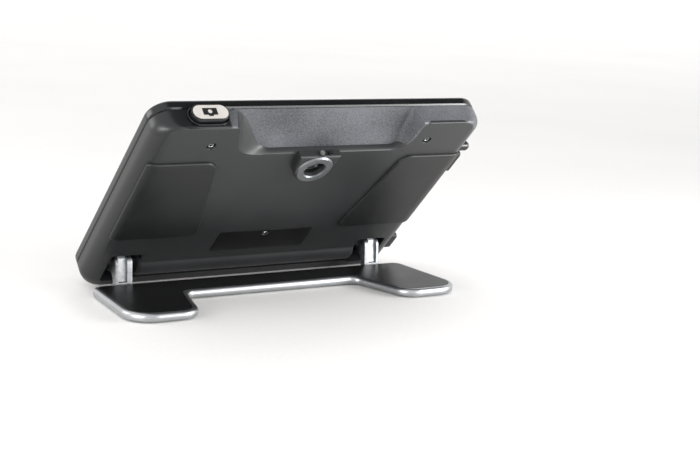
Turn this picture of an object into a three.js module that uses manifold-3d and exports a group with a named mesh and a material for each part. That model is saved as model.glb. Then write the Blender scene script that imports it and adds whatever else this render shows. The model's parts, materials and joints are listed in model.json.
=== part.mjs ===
// Tablet video magnifier on a folding reading stand. Millimetres, +Z up.
// The reader sits on the +Y side. The tablet leans over a U-shaped plate, so its rear camera sees the page.
import * as THREE from "three";
import { mergeVertices } from "three/addons/utils/BufferGeometryUtils.js";
import Module from "manifold-3d";

// Driving dimensions: fits and steps
const GAP = 0.3; // between touching pieces
const RUNNING_GAP = 0.35; // around pieces that move
const CORNER_STEPS = 3;
const ROUND_STEPS = 6;

// Driving dimensions: the tablet, measured in its own frame.
// There x runs across, y up its back from the hinge axis, and z out of its back.
const LEAN = THREE.MathUtils.degToRad(45);
const HALF_WIDTH = 108;
const BOTTOM = -20;
const TOP = 141;
const CORNER = 12;
const BACK = 7;
const FRONT = -13;
const PARTING = -6.7; // rear face of the bezel
const WALL = 2.2;
const SHELL = 2; // rear cover's thickness
const EDGE_WIDE = 10; // the side walls curve in by this much
const EDGE_TALL = 9; // over this much height
const COVER_HALF = 103;

// Driving dimensions: the hinge
const HINGE_Y = 17.7;
const HINGE_Z = 17.6;
const ROLL_RADIUS = 10;
const ROLL_HALF = 77;
const SLOT_OUT = 97;
const SLOT_TOP = 15.8;
const ARM_IN = 82.5;
const ARM_OUT = 93.5;
const BOSS_RADIUS = 6.2;
const PIN_RADIUS = 2.5;

// Driving dimensions: the notch between the cover's two ears, where the housing slopes away
const NOTCH_FLOOR = 115.3;
const NOTCH_LOW_HALF = 53;
const NOTCH_HIGH_HALF = 62;
const SLOPE_START = 3.2;
const SLOPE_END = -5.6;

// Driving dimensions: the near camera
const CAMERA_Y = 105.6;
const RING_RADIUS = 11.5;
const RING_HOLE = 6.5;
const RING_FACE = 13;
const TONGUE_END = 117.6;

// Driving dimensions: display, in a class of eight-inch panels
const SCREEN_Y = 62;
const GLASS_HALF_X = 88.7;
const GLASS_HALF_Y = 56.7;

// Driving dimensions: buttons
const BUTTON_X = -77.5;
const BUTTON_Z = -0.8;
const BUTTON_HALF = 11.2;
const BUTTON_HALF_DEEP = 5.3;
const SIDE_KEY_Z = 0.5;
const SIDE_KEY_HALF_TALL = 2.3;
const POWER_RADIUS = 3.2;
const POWER_Y = 110.5;
const UPPER_KEY = { y: 94.5, half: 9.5 };
const LOWER_KEY = { y: 4, half: 7.2 };
const FRONT_KEYS = { zoom_in_key: 88, mode_key: 62, zoom_out_key: 36 };
const FRONT_KEY_X = 98.5;
const FRONT_KEY_RADIUS = 5;

// Driving dimensions: the stand plate
const FOOT_HEIGHT = 0.7;
const PLATE_LOW = 1;
const PLATE_TOP = 6;
const RIM = 3;
const BACK_RIM = 1.2;
const INLAY_BACK = 1.6;
const INLAY_FRONT = -64.5;
const INLAY_LOW = 5.2;
const INLAY_TOP = 6.1;
const ARM_FOOT_TOP = 3;
const ARM_FOOT_FRONT = -12;

const wasm = await Module();
wasm.setup();

// Solids from geometry, and geometry from solids
function solid(geometry) {
  const bare = geometry.clone();
  bare.deleteAttribute("normal");
  bare.deleteAttribute("uv");
  const merged = mergeVertices(bare, 1e-4);
  return new wasm.Manifold(
    new wasm.Mesh({
      numProp: 3,
      vertProperties: merged.attributes.position.array,
      triVerts: new Uint32Array(merged.index.array),
    }),
  );
}

function geometryOf(body) {
  const mesh = body.getMesh();
  const geometry = new THREE.BufferGeometry();
  geometry.setAttribute("position", new THREE.BufferAttribute(mesh.vertProperties, 3));
  geometry.setIndex(new THREE.BufferAttribute(mesh.triVerts, 1));
  geometry.computeVertexNormals();
  return geometry;
}

const join = (first, ...others) => others.reduce((whole, piece) => whole.add(piece), first);
const cut = (first, ...tools) => tools.reduce((whole, tool) => whole.subtract(tool), first);

// A closed outline through corners [x, y, radius], each rounded by an arc tangent to both its edges.
function outline(corners) {
  const shape = new THREE.Shape();
  corners.forEach(([x, y, radius = 0], i) => {
    const corner = new THREE.Vector2(x, y);
    const [beforeX, beforeY] = corners.at(i - 1);
    const [afterX, afterY] = corners[(i + 1) % corners.length];
    const before = new THREE.Vector2(beforeX, beforeY).sub(corner).normalize();
    const after = new THREE.Vector2(afterX, afterY).sub(corner).normalize();
    if (radius === 0) {
      if (i === 0) shape.moveTo(x, y);
      else shape.lineTo(x, y);
      return;
    }
    const half = Math.acos(before.dot(after)) / 2;
    const start = corner.clone().addScaledVector(before, radius / Math.tan(half));
    const end = corner.clone().addScaledVector(after, radius / Math.tan(half));
    const middle = before.clone().add(after).normalize();
    const centre = corner.clone().addScaledVector(middle, radius / Math.sin(half));
    const clockwise = before.cross(after) > 0;
    if (i === 0) shape.moveTo(start.x, start.y);
    shape.absarc(
      centre.x,
      centre.y,
      radius,
      Math.atan2(start.y - centre.y, start.x - centre.x),
      Math.atan2(end.y - centre.y, end.x - centre.x),
      clockwise,
    );
  });
  return shape;
}

const rectangle = (left, right, low, high, radius = 0) =>
  outline([
    [left, low, radius],
    [right, low, radius],
    [right, high, radius],
    [left, high, radius],
  ]);

const circle = (x, y, radius) => new THREE.Shape().absarc(x, y, radius, 0, 2 * Math.PI, false);

// Three ways to extrude an outline: along Z from an xy outline, along X from yz, and along Y from xz.
function extruded(shape, depth, steps) {
  return new THREE.ExtrudeGeometry(shape, { depth, bevelEnabled: false, curveSegments: steps });
}

function slab(shape, low, high, steps = CORNER_STEPS) {
  return solid(extruded(shape, high - low, steps).translate(0, 0, low));
}

function beam(shape, left, right, steps = CORNER_STEPS) {
  const turn = new THREE.Matrix4().makeBasis(
    new THREE.Vector3(0, 1, 0),
    new THREE.Vector3(0, 0, 1),
    new THREE.Vector3(1, 0, 0),
  );
  return solid(extruded(shape, right - left, steps).applyMatrix4(turn).translate(left, 0, 0));
}

function girder(shape, near, far, steps = CORNER_STEPS) {
  const turn = new THREE.Matrix4().makeBasis(
    new THREE.Vector3(1, 0, 0),
    new THREE.Vector3(0, 0, 1),
    new THREE.Vector3(0, -1, 0),
  );
  return solid(extruded(shape, far - near, steps).applyMatrix4(turn).translate(0, far, 0));
}

const block = (left, right, near, far, low, high) => slab(rectangle(left, right, near, far), low, high);

const post = (x, y, radius, low, high) => slab(circle(x, y, radius), low, high, ROUND_STEPS);

// Adds a named mesh to a group.
function piece(group, name, body, color, roughness, metalness = 0) {
  const material = new THREE.MeshStandardMaterial({ color, roughness, metalness });
  const mesh = new THREE.Mesh(geometryOf(body), material);
  mesh.name = name;
  group.add(mesh);
}

const sides = [
  ["left", -1],
  ["right", 1],
];
const spanOn = (side, inner, outer) => (side < 0 ? [-outer, -inner] : [inner, outer]);

// ---- The stand: plate, inlay, feet, hinge arms and their screws ----

function plateOutline(grow, growBack) {
  const front = INLAY_FRONT - grow;
  const back = INLAY_BACK + growBack;
  const right = [
    [62 - grow, -21 - grow, 9 - grow],
    [73.5 - grow, front, 10 + grow],
    [110.5 + grow, front, 14 + grow],
    [106.4 + grow, back, 5],
  ];
  const left = right.map(([x, y, radius]) => [-x, y, radius]).reverse();
  return outline([...right, ...left]);
}

function standPlate() {
  const plate = slab(plateOutline(RIM, BACK_RIM), PLATE_LOW, PLATE_TOP);
  const recess = slab(plateOutline(GAP, GAP), INLAY_LOW - GAP, PLATE_TOP + 1);
  const pockets = sides.map(([, side]) => {
    const [left, right] = spanOn(side, ARM_IN - GAP, ARM_OUT + GAP);
    return block(left, right, ARM_FOOT_FRONT - GAP, HINGE_Y, PLATE_LOW - 1, ARM_FOOT_TOP + GAP);
  });
  return cut(plate, recess, ...pockets);
}

// One arm: a foot under the plate, a leg behind its back edge, and a boss around the hinge axis.
function hingeArm(side) {
  const legFront = INLAY_BACK + BACK_RIM + GAP;
  const legBack = 8.4;
  const low = PLATE_LOW + GAP;
  const profile = outline([
    [ARM_FOOT_FRONT, low],
    [legBack, low, 1],
    [legBack, 12.9, 5],
    [HINGE_Y, HINGE_Z - BOSS_RADIUS],
    [HINGE_Y, HINGE_Z + BOSS_RADIUS],
    [4.2, 22.4, 6],
    [legFront, ARM_FOOT_TOP],
    [ARM_FOOT_FRONT, ARM_FOOT_TOP],
  ]);
  const [left, right] = spanOn(side, ARM_IN, ARM_OUT);
  const [ribLeft, ribRight] = spanOn(side, ARM_IN + 3.6, ARM_OUT - 2.4);
  const screwX = side * (ARM_IN + ARM_OUT) / 2;
  const groove = rectangle(legFront - 1, legFront + 2.4, PLATE_TOP + 1, 16.5, 1);
  return cut(
    join(
      beam(profile, left, right),
      beam(circle(HINGE_Y, HINGE_Z, BOSS_RADIUS), left, right, ROUND_STEPS),
    ),
    beam(circle(HINGE_Y, HINGE_Z, PIN_RADIUS + RUNNING_GAP), left - 1, right + 1, ROUND_STEPS),
    beam(groove, ribLeft, ribRight),
    post(screwX, -6, 1.5, 0, ARM_FOOT_TOP + 1),
  );
}

function addStand(group) {
  piece(group, "stand_plate", standPlate(), "#b4b6b8", 0.35, 1);
  piece(group, "stand_inlay", slab(plateOutline(0, 0), INLAY_LOW, INLAY_TOP), "#1b1c1e", 0.45);
  const feet = [
    ["front_left", -92, -52],
    ["front_right", 92, -52],
    ["back_left", -58, -10],
    ["back_right", 58, -10],
  ];
  for (const [place, x, y] of feet) {
    piece(group, "stand_foot_" + place, post(x, y, 6, 0, FOOT_HEIGHT), "#202020", 0.9);
  }
  for (const [name, side] of sides) {
    piece(group, "hinge_arm_" + name, hingeArm(side), "#d2d3d4", 0.4, 1);
    const x = side * (ARM_IN + ARM_OUT) / 2;
    piece(group, "arm_screw_" + name, post(x, -6, 1.2, 0.4, ARM_FOOT_TOP), "#8d9094", 0.35, 1);
  }
}

// ---- The tablet's casing ----

const bodyPlan = (inset) =>
  rectangle(-HALF_WIDTH + inset, HALF_WIDTH - inset, BOTTOM + inset, TOP - inset, CORNER - inset);

function notchPlan(grow) {
  const high = NOTCH_HIGH_HALF + grow;
  const low = NOTCH_LOW_HALF + grow;
  return outline([
    [-low, NOTCH_FLOOR - grow, 7],
    [low, NOTCH_FLOOR - grow, 7],
    [high, TOP + 5],
    [-high, TOP + 5],
  ]);
}

function coverPlan(grow) {
  const half = COVER_HALF + grow;
  return outline([
    [-half, BOTTOM, 0],
    [half, BOTTOM, 0],
    [half, TOP, 11],
    [-half, TOP, 11],
  ]);
}

// Across the tablet: flat back with quarter-ellipse edges.
function sideSection() {
  const start = HALF_WIDTH - EDGE_WIDE;
  const turn = BACK - EDGE_TALL;
  const shape = new THREE.Shape();
  shape.moveTo(-HALF_WIDTH, PARTING);
  shape.lineTo(HALF_WIDTH, PARTING);
  shape.absellipse(start, turn, EDGE_WIDE, EDGE_TALL, 0, Math.PI / 2, false);
  shape.absellipse(-start, turn, EDGE_WIDE, EDGE_TALL, Math.PI / 2, Math.PI, false);
  return shape;
}

// Along the tablet: square bottom front, rounded bottom back that runs into the roll.
const longSection = () =>
  outline([
    [BOTTOM, PARTING + GAP],
    [TOP, PARTING + GAP],
    [TOP, BACK, 1.5],
    [BOTTOM, BACK - 4, 5],
  ]);

const slopeSection = (drop) =>
  outline([
    [NOTCH_FLOOR - 6, SLOPE_START - drop],
    [NOTCH_FLOOR, SLOPE_START - drop],
    [TOP + 1, SLOPE_END - drop],
    [TOP + 1, BACK + 5],
    [NOTCH_FLOOR - 6, BACK + 5],
  ]);

const coverSeats = [
  [-71.8, 124.3],
  [71.8, 124.3],
  [0, 32.2],
];

function hingeBay() {
  const middle = block(-SLOT_OUT, SLOT_OUT, -9.8, 9.8, PARTING - 1, ROLL_RADIUS + 2);
  const slots = sides.map(([, side]) => {
    const [left, right] = spanOn(side, ROLL_HALF, SLOT_OUT);
    return block(left, right, -12, SLOT_TOP, PARTING - 1, ROLL_RADIUS + 2);
  });
  return join(middle, ...slots);
}

function sideKeyPlug({ y, half }, grow, start, end) {
  const long = half + grow;
  const tall = SIDE_KEY_HALF_TALL + grow;
  return beam(rectangle(y - long, y + long, SIDE_KEY_Z - tall, SIDE_KEY_Z + tall, tall), start, end);
}

function stemOutline(grow) {
  const half = 7 + grow;
  const deep = 2.5 + grow;
  return rectangle(BUTTON_X - half, BUTTON_X + half, BUTTON_Z - deep, BUTTON_Z + deep, deep);
}

function rearHousing() {
  const outer = slab(bodyPlan(0), PARTING + GAP, BACK)
    .intersect(girder(sideSection(), BOTTOM, TOP))
    .intersect(beam(longSection(), -HALF_WIDTH, HALF_WIDTH));
  const underCover = slab(coverPlan(GAP), BACK - SHELL - GAP, BACK + 1);
  const notch = beam(slopeSection(0), -70, 70).intersect(slab(notchPlan(0), PARTING - 1, BACK + 5));
  const innerNotch = beam(slopeSection(2), -70, 70).intersect(slab(notchPlan(2), PARTING - 1, BACK + 5));
  const cavity = slab(bodyPlan(WALL), PARTING - 1, BACK - 2 * SHELL - GAP).subtract(innerNotch);
  const stemHole = girder(stemOutline(RUNNING_GAP), TOP - 9, TOP + 1);
  const socketHole = beam(rectangle(57.2, 66.8, -3.4, 0.4, 1.8), 100, 110);
  const jackHole = beam(circle(44, -1.5, 3.4), 100, 110, ROUND_STEPS);
  return cut(
    outer,
    underCover.subtract(slab(notchPlan(-GAP), 0, BACK + 2)),
    notch,
    cavity,
    hingeBay(),
    stemHole,
    socketHole,
    jackHole,
    beam(circle(POWER_Y, SIDE_KEY_Z, POWER_RADIUS + RUNNING_GAP), 95, 110, ROUND_STEPS),
    sideKeyPlug(UPPER_KEY, RUNNING_GAP, 95, 110),
    sideKeyPlug(LOWER_KEY, RUNNING_GAP, 95, 110),
    post(0, CAMERA_Y, 6.8, 0, BACK + 1),
    ...coverSeats.map(([x, y]) => post(x, y, 1.5, 0, BACK)),
  );
}

// The cover: a flat shell that turns over the hinge barrel in a half roll, with ears either side of the notch.
function rearCover() {
  const meet = Math.asin(BACK / ROLL_RADIUS);
  const inner = ROLL_RADIUS - SHELL;
  const innerMeet = Math.asin((BACK - SHELL) / inner);
  const low = Math.PI - 0.3;
  const shape = new THREE.Shape();
  shape.moveTo(TOP, BACK - SHELL);
  shape.lineTo(TOP, BACK);
  shape.absarc(0, 0, ROLL_RADIUS, meet, low, false);
  shape.absarc(0, 0, inner, low, innerMeet, true);
  const reach = SHELL + 1;
  const roll = beam(shape, -COVER_HALF, COVER_HALF, ROUND_STEPS);
  const ends = sides.map(([, side]) => {
    const [left, right] = spanOn(side, ROLL_HALF - SHELL, ROLL_HALF);
    const disc = beam(circle(0, 0, ROLL_RADIUS), left, right, ROUND_STEPS);
    return disc.intersect(block(left, right, -ROLL_RADIUS, ROLL_RADIUS, reach, ROLL_RADIUS + 1));
  });
  const slots = sides.map(([, side]) => {
    const [left, right] = spanOn(side, ROLL_HALF, SLOT_OUT);
    return block(left, right, -12, SLOT_TOP, -2, ROLL_RADIUS + 2);
  });
  const corners = sides.map(([, side]) => {
    const [left, right] = spanOn(side, SLOT_OUT, COVER_HALF + 1);
    return block(left, right, -12, ROLL_RADIUS, -2, ROLL_RADIUS + 2);
  });
  return cut(
    join(roll, ...ends).intersect(slab(coverPlan(0), -2, ROLL_RADIUS + 1)),
    slab(notchPlan(0), -2, BACK + 2),
    ...slots,
    ...corners,
    post(0, CAMERA_Y, 6.8, 0, BACK + 1),
    ...coverSeats.flatMap(([x, y]) => [post(x, y, 1.5, 0, BACK), post(x, y, 2.75, 5.8, BACK + 1)]),
  );
}

function glassOutline(grow) {
  const halfX = GLASS_HALF_X + grow;
  const halfY = GLASS_HALF_Y + grow;
  return rectangle(-halfX, halfX, SCREEN_Y - halfY, SCREEN_Y + halfY, 3 + grow);
}

function frontBezel() {
  const keyHoles = Object.values(FRONT_KEYS).map((y) =>
    post(FRONT_KEY_X, y, FRONT_KEY_RADIUS + RUNNING_GAP, FRONT - 1, PARTING),
  );
  return cut(
    slab(bodyPlan(0), FRONT, PARTING),
    slab(bodyPlan(WALL), FRONT + 2, PARTING + 1),
    slab(glassOutline(GAP), FRONT - 1, PARTING),
    ...keyHoles,
  );
}

// A rubber grip pad, wider towards the hinge.
function gripPad(side) {
  const corners = [
    [100.5, 34.5, 4],
    [100.5, 109.5, 4],
    [62.5, 109.5, 8],
    [48.5, 34.5, 5],
  ];
  const placed = corners.map(([x, y, radius]) => [side * x, y, radius]);
  if (side < 0) placed.reverse();
  return slab(outline(placed), BACK + GAP, BACK + 1.6);
}

function addCasing(group) {
  piece(group, "front_bezel", frontBezel(), "#2c2d30", 0.35);
  piece(group, "rear_housing", rearHousing(), "#77787b", 0.5);
  piece(group, "rear_cover", rearCover(), "#3a3b3d", 0.45);
  for (const [name, side] of sides) {
    piece(group, "grip_pad_" + name, gripPad(side), "#2f3032", 0.8);
  }
  const label = slab(rectangle(-32.2, 32.2, 15, 35.2), BACK + 0.15, BACK + 0.4);
  piece(group, "rating_label", cut(label, post(0, 32.2, 3, BACK - 1, BACK + 1)), "#141415", 0.3);
  const names = ["left", "right", "bottom"];
  coverSeats.forEach(([x, y], i) => {
    const screw = join(post(x, y, 1.2, -1, 6.3), post(x, y, 2.4, 6.1, 6.7));
    piece(group, "cover_screw_" + names[i], screw, "#1d1e20", 0.3, 1);
  });
}

// ---- Display ----

function addDisplay(group) {
  piece(group, "display_glass", slab(glassOutline(0), -12.8, -11.6), "#0b0c0e", 0.05);
  const panel = block(-90.5, 90.5, SCREEN_Y - 58.5, SCREEN_Y + 58.5, -10.7, -7.9);
  piece(group, "lcd_panel", panel, "#16181b", 0.3);
  const frame = cut(
    block(-100, 100, 12, 134, -7.6, -6.4),
    block(-85, -5, 28, 96, -8, -6),
    block(5, 85, 28, 96, -8, -6),
  );
  piece(group, "chassis_frame", frame, "#9a9da0", 0.4, 1);
}

// ---- Near camera on its short tongue, distance camera and light ----

function addCameras(group) {
  const tongue = outline([
    [-12.6, CAMERA_Y - 12.6, 12.5],
    [12.6, CAMERA_Y - 12.6, 12.5],
    [12.6, TONGUE_END],
    [-12.6, TONGUE_END],
  ]);
  const boss = cut(
    slab(tongue, BACK + GAP, 12),
    post(0, CAMERA_Y, RING_RADIUS + GAP, 9.2, RING_FACE + 1),
    post(0, CAMERA_Y, 6.8, BACK, RING_FACE),
  );
  piece(group, "camera_boss", boss, "#3c3d40", 0.4);
  const ring = cut(
    post(0, CAMERA_Y, RING_RADIUS, 9.5, RING_FACE),
    post(0, CAMERA_Y, RING_HOLE, 9, RING_FACE + 1),
  );
  piece(group, "camera_ring", ring, "#6c6e71", 0.3, 1);
  piece(group, "near_camera_lens", post(0, CAMERA_Y, 6.2, 7.3, 9), "#0a0b0d", 0.05);
  const module = join(
    block(-9, 9, CAMERA_Y - 9, CAMERA_Y + 4, -5.8, 2.2),
    post(0, CAMERA_Y, 5, 2, 7),
  );
  piece(group, "near_camera_module", module, "#1a1b1d", 0.5);
  const window = (x, radius) => girder(circle(x, 9.4, radius), TONGUE_END + GAP, TONGUE_END + 1.2, ROUND_STEPS);
  piece(group, "distance_camera_lens", window(6.4, 1.6), "#060708", 0.05);
  piece(group, "reading_light_lens", window(1, 1.5), "#e8e8e2", 0.1);
}

// ---- Inside: board, cell, speaker, sockets, hinge pins and clutches ----

function addInsides(group) {
  piece(group, "main_board", block(22, 97, 28, 112, -5.8, -4.4), "#1f4d35", 0.5);
  piece(group, "battery_pack", block(-88, 8, 38, 88, -5.8, -1.5), "#5b5e63", 0.5);
  piece(group, "speaker", slab(rectangle(-90, -56, 98, 112, 5), -5.8, -1), "#191919", 0.6);
  piece(group, "capture_switch", block(BUTTON_X - 6, BUTTON_X + 6, 130, 134.6, -4, 2.2), "#c9c9c9", 0.5);
  const socket = cut(
    beam(rectangle(57.6, 66.4, -3.1, 0.1, 1.5), 99, 106.6),
    beam(rectangle(57.9, 66.1, -2.8, -0.2, 1.2), 101, 108),
  );
  piece(group, "usb_c_socket", socket, "#a9acaf", 0.3, 1);
  const jack = cut(
    beam(circle(44, -1.5, 3), 98, 106.4, ROUND_STEPS),
    beam(circle(44, -1.5, 1.8), 100, 108, ROUND_STEPS),
  );
  piece(group, "headphone_jack", jack, "#1a1a1a", 0.4);
  for (const [name, side] of sides) {
    const pin = beam(circle(0, 0, PIN_RADIUS), ...spanOn(side, 57, 96), ROUND_STEPS);
    piece(group, "hinge_pin_" + name, pin, "#9b9ea1", 0.3, 1);
    const clutch = cut(
      beam(circle(0, 0, 5.8), ...spanOn(side, 50, 74), ROUND_STEPS),
      beam(circle(0, 0, PIN_RADIUS + GAP), ...spanOn(side, 55, 76), ROUND_STEPS),
    );
    piece(group, "friction_clutch_" + name, clutch, "#77797c", 0.4, 1);
  }
}

// ---- Buttons and keys, each free to travel ----

function addButtons(group) {
  const obround = (grow) =>
    rectangle(
      BUTTON_X - BUTTON_HALF - grow,
      BUTTON_X + BUTTON_HALF + grow,
      BUTTON_Z - BUTTON_HALF_DEEP - grow,
      BUTTON_Z + BUTTON_HALF_DEEP + grow,
      BUTTON_HALF_DEEP + grow,
    );
  const surround = cut(
    girder(obround(1.1), TOP + GAP, TOP + 1.6, ROUND_STEPS),
    girder(obround(RUNNING_GAP), TOP, TOP + 2, ROUND_STEPS),
  );
  piece(group, "capture_surround", surround, "#5a5c5f", 0.3, 1);
  const button = join(
    girder(obround(0), TOP + 1.4, TOP + 4.6, ROUND_STEPS),
    girder(stemOutline(0), TOP - 5, TOP + 2),
  );
  piece(group, "capture_button", button, "#d9d6d2", 0.35);
  const power = beam(circle(POWER_Y, SIDE_KEY_Z, POWER_RADIUS), 102, 112.4, ROUND_STEPS);
  piece(group, "power_button", power, "#3a3b3d", 0.5);
  piece(group, "upper_side_key", sideKeyPlug(UPPER_KEY, 0, 102, 109), "#2a2b2d", 0.6);
  piece(group, "lower_side_key", sideKeyPlug(LOWER_KEY, 0, 102, 109), "#2a2b2d", 0.6);
  const keyColors = { zoom_in_key: "#e8b820", mode_key: "#2f6fc4", zoom_out_key: "#e8b820" };
  for (const [name, y] of Object.entries(FRONT_KEYS)) {
    const key = post(FRONT_KEY_X, y, FRONT_KEY_RADIUS, FRONT - 1.2, -9.5);
    piece(group, name, key, keyColors[name], 0.5);
  }
}

const part = new THREE.Group();
addStand(part);

const tablet = new THREE.Group();
tablet.position.set(0, HINGE_Y, HINGE_Z);
tablet.rotation.x = Math.PI - LEAN;
addCasing(tablet);
addDisplay(tablet);
addCameras(tablet);
addInsides(tablet);
addButtons(tablet);
part.add(tablet);

// The origin is the middle of the whole object's footprint, on the surface it stands on.
const extent = new THREE.Box3().setFromObject(part, true);
const centre = extent.getCenter(new THREE.Vector3());
part.position.set(-centre.x, -centre.y, -extent.min.z);

export default part;
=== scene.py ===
# A tablet video magnifier on its folding reading stand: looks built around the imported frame.
import json
import math

import bmesh
import bpy
from mathutils import Matrix, Vector


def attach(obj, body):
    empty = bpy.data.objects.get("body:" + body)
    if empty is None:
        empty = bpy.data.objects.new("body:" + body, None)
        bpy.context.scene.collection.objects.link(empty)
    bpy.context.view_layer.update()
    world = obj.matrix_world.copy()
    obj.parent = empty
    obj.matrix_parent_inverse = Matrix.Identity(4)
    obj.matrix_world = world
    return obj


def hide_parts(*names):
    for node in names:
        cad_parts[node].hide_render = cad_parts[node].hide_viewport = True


MM = 0.001
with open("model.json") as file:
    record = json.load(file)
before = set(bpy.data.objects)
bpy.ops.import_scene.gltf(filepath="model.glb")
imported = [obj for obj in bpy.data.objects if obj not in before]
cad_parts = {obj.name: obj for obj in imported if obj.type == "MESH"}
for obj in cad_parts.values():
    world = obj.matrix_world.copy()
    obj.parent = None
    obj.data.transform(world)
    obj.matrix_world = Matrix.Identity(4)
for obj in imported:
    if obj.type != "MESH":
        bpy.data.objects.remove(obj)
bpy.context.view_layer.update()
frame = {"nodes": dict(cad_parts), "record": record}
JOINTS = frame["record"]["behaviour"]["joints"]
HINGE = Vector(next(joint["pos_m"] for joint in JOINTS if joint["name"] == "stand_hinge"))
LEAN = math.radians(45)
PIN_Y, PIN_Z = 17.7, 17.6  # the hinge pin's place behind and above the plate's hinge side, mm

# The tablet's own frame: x across, y up its back from the hinge axis, z out of its back, in millimetres.
TABLET = Matrix.Translation(HINGE) @ Matrix.Rotation(math.pi - LEAN, 4, "X") @ Matrix.Scale(MM, 4)
# The stand's frame: the plate's hinge side lies at y = 0, on the table.
STAND_Y = HINGE.y / MM - PIN_Y
STAND = Matrix.Scale(MM, 4) @ Matrix.Translation((0, STAND_Y, 0))

# Tablet sizes, mm
HALF_WIDTH, BOTTOM, TOP, CORNER = 108, -20, 141, 12
BACK, FRONT, PARTING = 7, -13, -6.7
EDGE_WIDE, EDGE_TALL = 10, 9
COVER_LEVEL = BACK + 0.05
ROLL_RADIUS, ROLL_HALF, ROLL_TOP = 10, 77, 15.6
BAY_HALF, BAY_FLOOR = 9.8, -5.5
SLOT_OUT, SLOT_LOW, SLOT_TOP = 97, -12, 15.8
NOTCH_FLOOR, SLOPE_START, SLOPE_END = 115.3, 3.2, -5.6
CAMERA_Y, RING_RADIUS, RING_HOLE, RING_FACE = 105.6, 11.5, 6.5, 13
KEY_X, KEY_HEIGHTS = 98.5, (88, 62, 36)
SCREWS = [(-71.8, 124.3), (71.8, 124.3), (0, 32.2)]

ARC = 6  # steps in each rounded corner
SHARP = math.radians(32)  # an edge that bends more than this stays crisp


# ---------------------------------------------------------------- materials


def colour(code):
    """sRGB hex to linear."""
    parts = [int(code[i : i + 2], 16) / 255 for i in (1, 3, 5)]
    return [c / 12.92 if c <= 0.04045 else ((c + 0.055) / 1.055) ** 2.4 for c in parts] + [1]


def add(tree, kind, inputs=(), **settings):
    """Adds a node with its settings and inputs, each a value or another node's output."""
    made = tree.nodes.new(kind)
    for name, value in settings.items():
        setattr(made, name, value)
    for socket, value in dict(inputs).items():
        if isinstance(value, bpy.types.NodeSocket):
            tree.links.new(value, made.inputs[socket])
        else:
            made.inputs[socket].default_value = value
    return made


def blank(name, **sockets):
    """A material with one Principled shader whose constant sockets are set directly."""
    material = bpy.data.materials.new(name)
    material.use_nodes = True
    tree = material.node_tree
    shader = tree.nodes["Principled BSDF"]
    for socket, value in sockets.items():
        shader.inputs[socket.replace("_", " ")].default_value = value
    return material, tree, shader


def grain(name, low, high, rough, grain_mm, depth_mm, wander_mm, metallic=0.0, spread=0.08, **sockets):
    """Moulded or cast skin: fine grain in bump and colour, and a slow wander in tone and gloss."""
    material, tree, shader = blank(name, Metallic=metallic, **sockets)
    place = add(tree, "ShaderNodeTexCoord").outputs["Object"]
    fine = add(tree, "ShaderNodeTexNoise", {"Vector": place, "Scale": 1 / (grain_mm * MM), "Detail": 3.0})
    slow = add(tree, "ShaderNodeTexNoise", {"Vector": place, "Scale": 1 / (wander_mm * MM), "Detail": 2.0})
    summed = add(tree, "ShaderNodeMath", {0: fine.outputs["Fac"], 1: slow.outputs["Fac"]}, operation="ADD")
    halved = add(tree, "ShaderNodeMath", {0: summed.outputs[0], 1: 0.5}, operation="MULTIPLY")
    tone = add(tree, "ShaderNodeValToRGB", {"Fac": halved.outputs[0]})
    for element, place, code in zip(tone.color_ramp.elements, (0.35, 0.65), (low, high)):
        element.position = place
        element.color = colour(code)
    tree.links.new(tone.outputs["Color"], shader.inputs["Base Color"])
    limits = {"From Min": 0.3, "From Max": 0.7, "To Min": rough - spread / 2, "To Max": rough + spread / 2}
    gloss = add(tree, "ShaderNodeMapRange", {"Value": slow.outputs["Fac"], **limits})
    tree.links.new(gloss.outputs["Result"], shader.inputs["Roughness"])
    relief = {"Height": fine.outputs["Fac"], "Distance": depth_mm * MM, "Strength": 1.0}
    bump = add(tree, "ShaderNodeBump", relief)
    tree.links.new(bump.outputs["Normal"], shader.inputs["Normal"])
    return material


def band_mask(tree, axis, start, end):
    """Rises from 0 to 1 between two places along one axis of the tablet, in its own millimetres."""
    place = add(tree, "ShaderNodeTexCoord").outputs["Object"]
    row = TABLET.inverted()[axis]
    along = add(tree, "ShaderNodeVectorMath", {0: place, 1: tuple(row[:3])}, operation="DOT_PRODUCT")
    limits = {"From Min": start - row[3], "From Max": end - row[3]}
    return add(tree, "ShaderNodeMapRange", {"Value": along.outputs["Value"], **limits}).outputs["Result"]


def bare_below(tree, shader, socket, bare, mask):
    """Mixes a shader socket from a bare value, where the mask is 0, to what it has now, where it is 1."""
    tinted = socket == "Base Color"
    first, second, result = (6, 7, 2) if tinted else (2, 3, 0)
    mix = add(tree, "ShaderNodeMix", {0: mask, first: bare}, data_type="RGBA" if tinted else "FLOAT")
    target = shader.inputs[socket]
    if target.is_linked:
        tree.links.new(target.links[0].from_socket, mix.inputs[second])
    else:
        mix.inputs[second].default_value = target.default_value
    tree.links.new(mix.outputs[result], target)


def sand_textured_paint():
    # Silver-grey paint over a spark-eroded mould: pale and dark specks about 0.75 mm apart.
    # The real grain is about half that and is drawn coarser so that it shows.
    # Below the top band and left of the button the same shell is bare, smooth black plastic.
    low, high = "#3d3e42", "#727378"
    material = grain("sand_textured_paint", low, high, 0.44, 0.75, 0.12, 40, metallic=0.25, spread=0.05)
    tree = material.node_tree
    shader = tree.nodes["Principled BSDF"]
    right_of_button = band_mask(tree, 0, -65.5, -64.5)
    top_band = band_mask(tree, 1, 104, 116)
    painted = add(tree, "ShaderNodeMath", {0: right_of_button, 1: top_band}, operation="MULTIPLY").outputs[0]
    bare_below(tree, shader, "Base Color", colour("#17181a"), painted)
    bare_below(tree, shader, "Metallic", 0.0, painted)
    bare_below(tree, shader, "Roughness", 0.36, painted)
    bump = next(node for node in tree.nodes if node.type == "BUMP")
    tree.links.new(painted, bump.inputs["Strength"])
    return material


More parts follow.
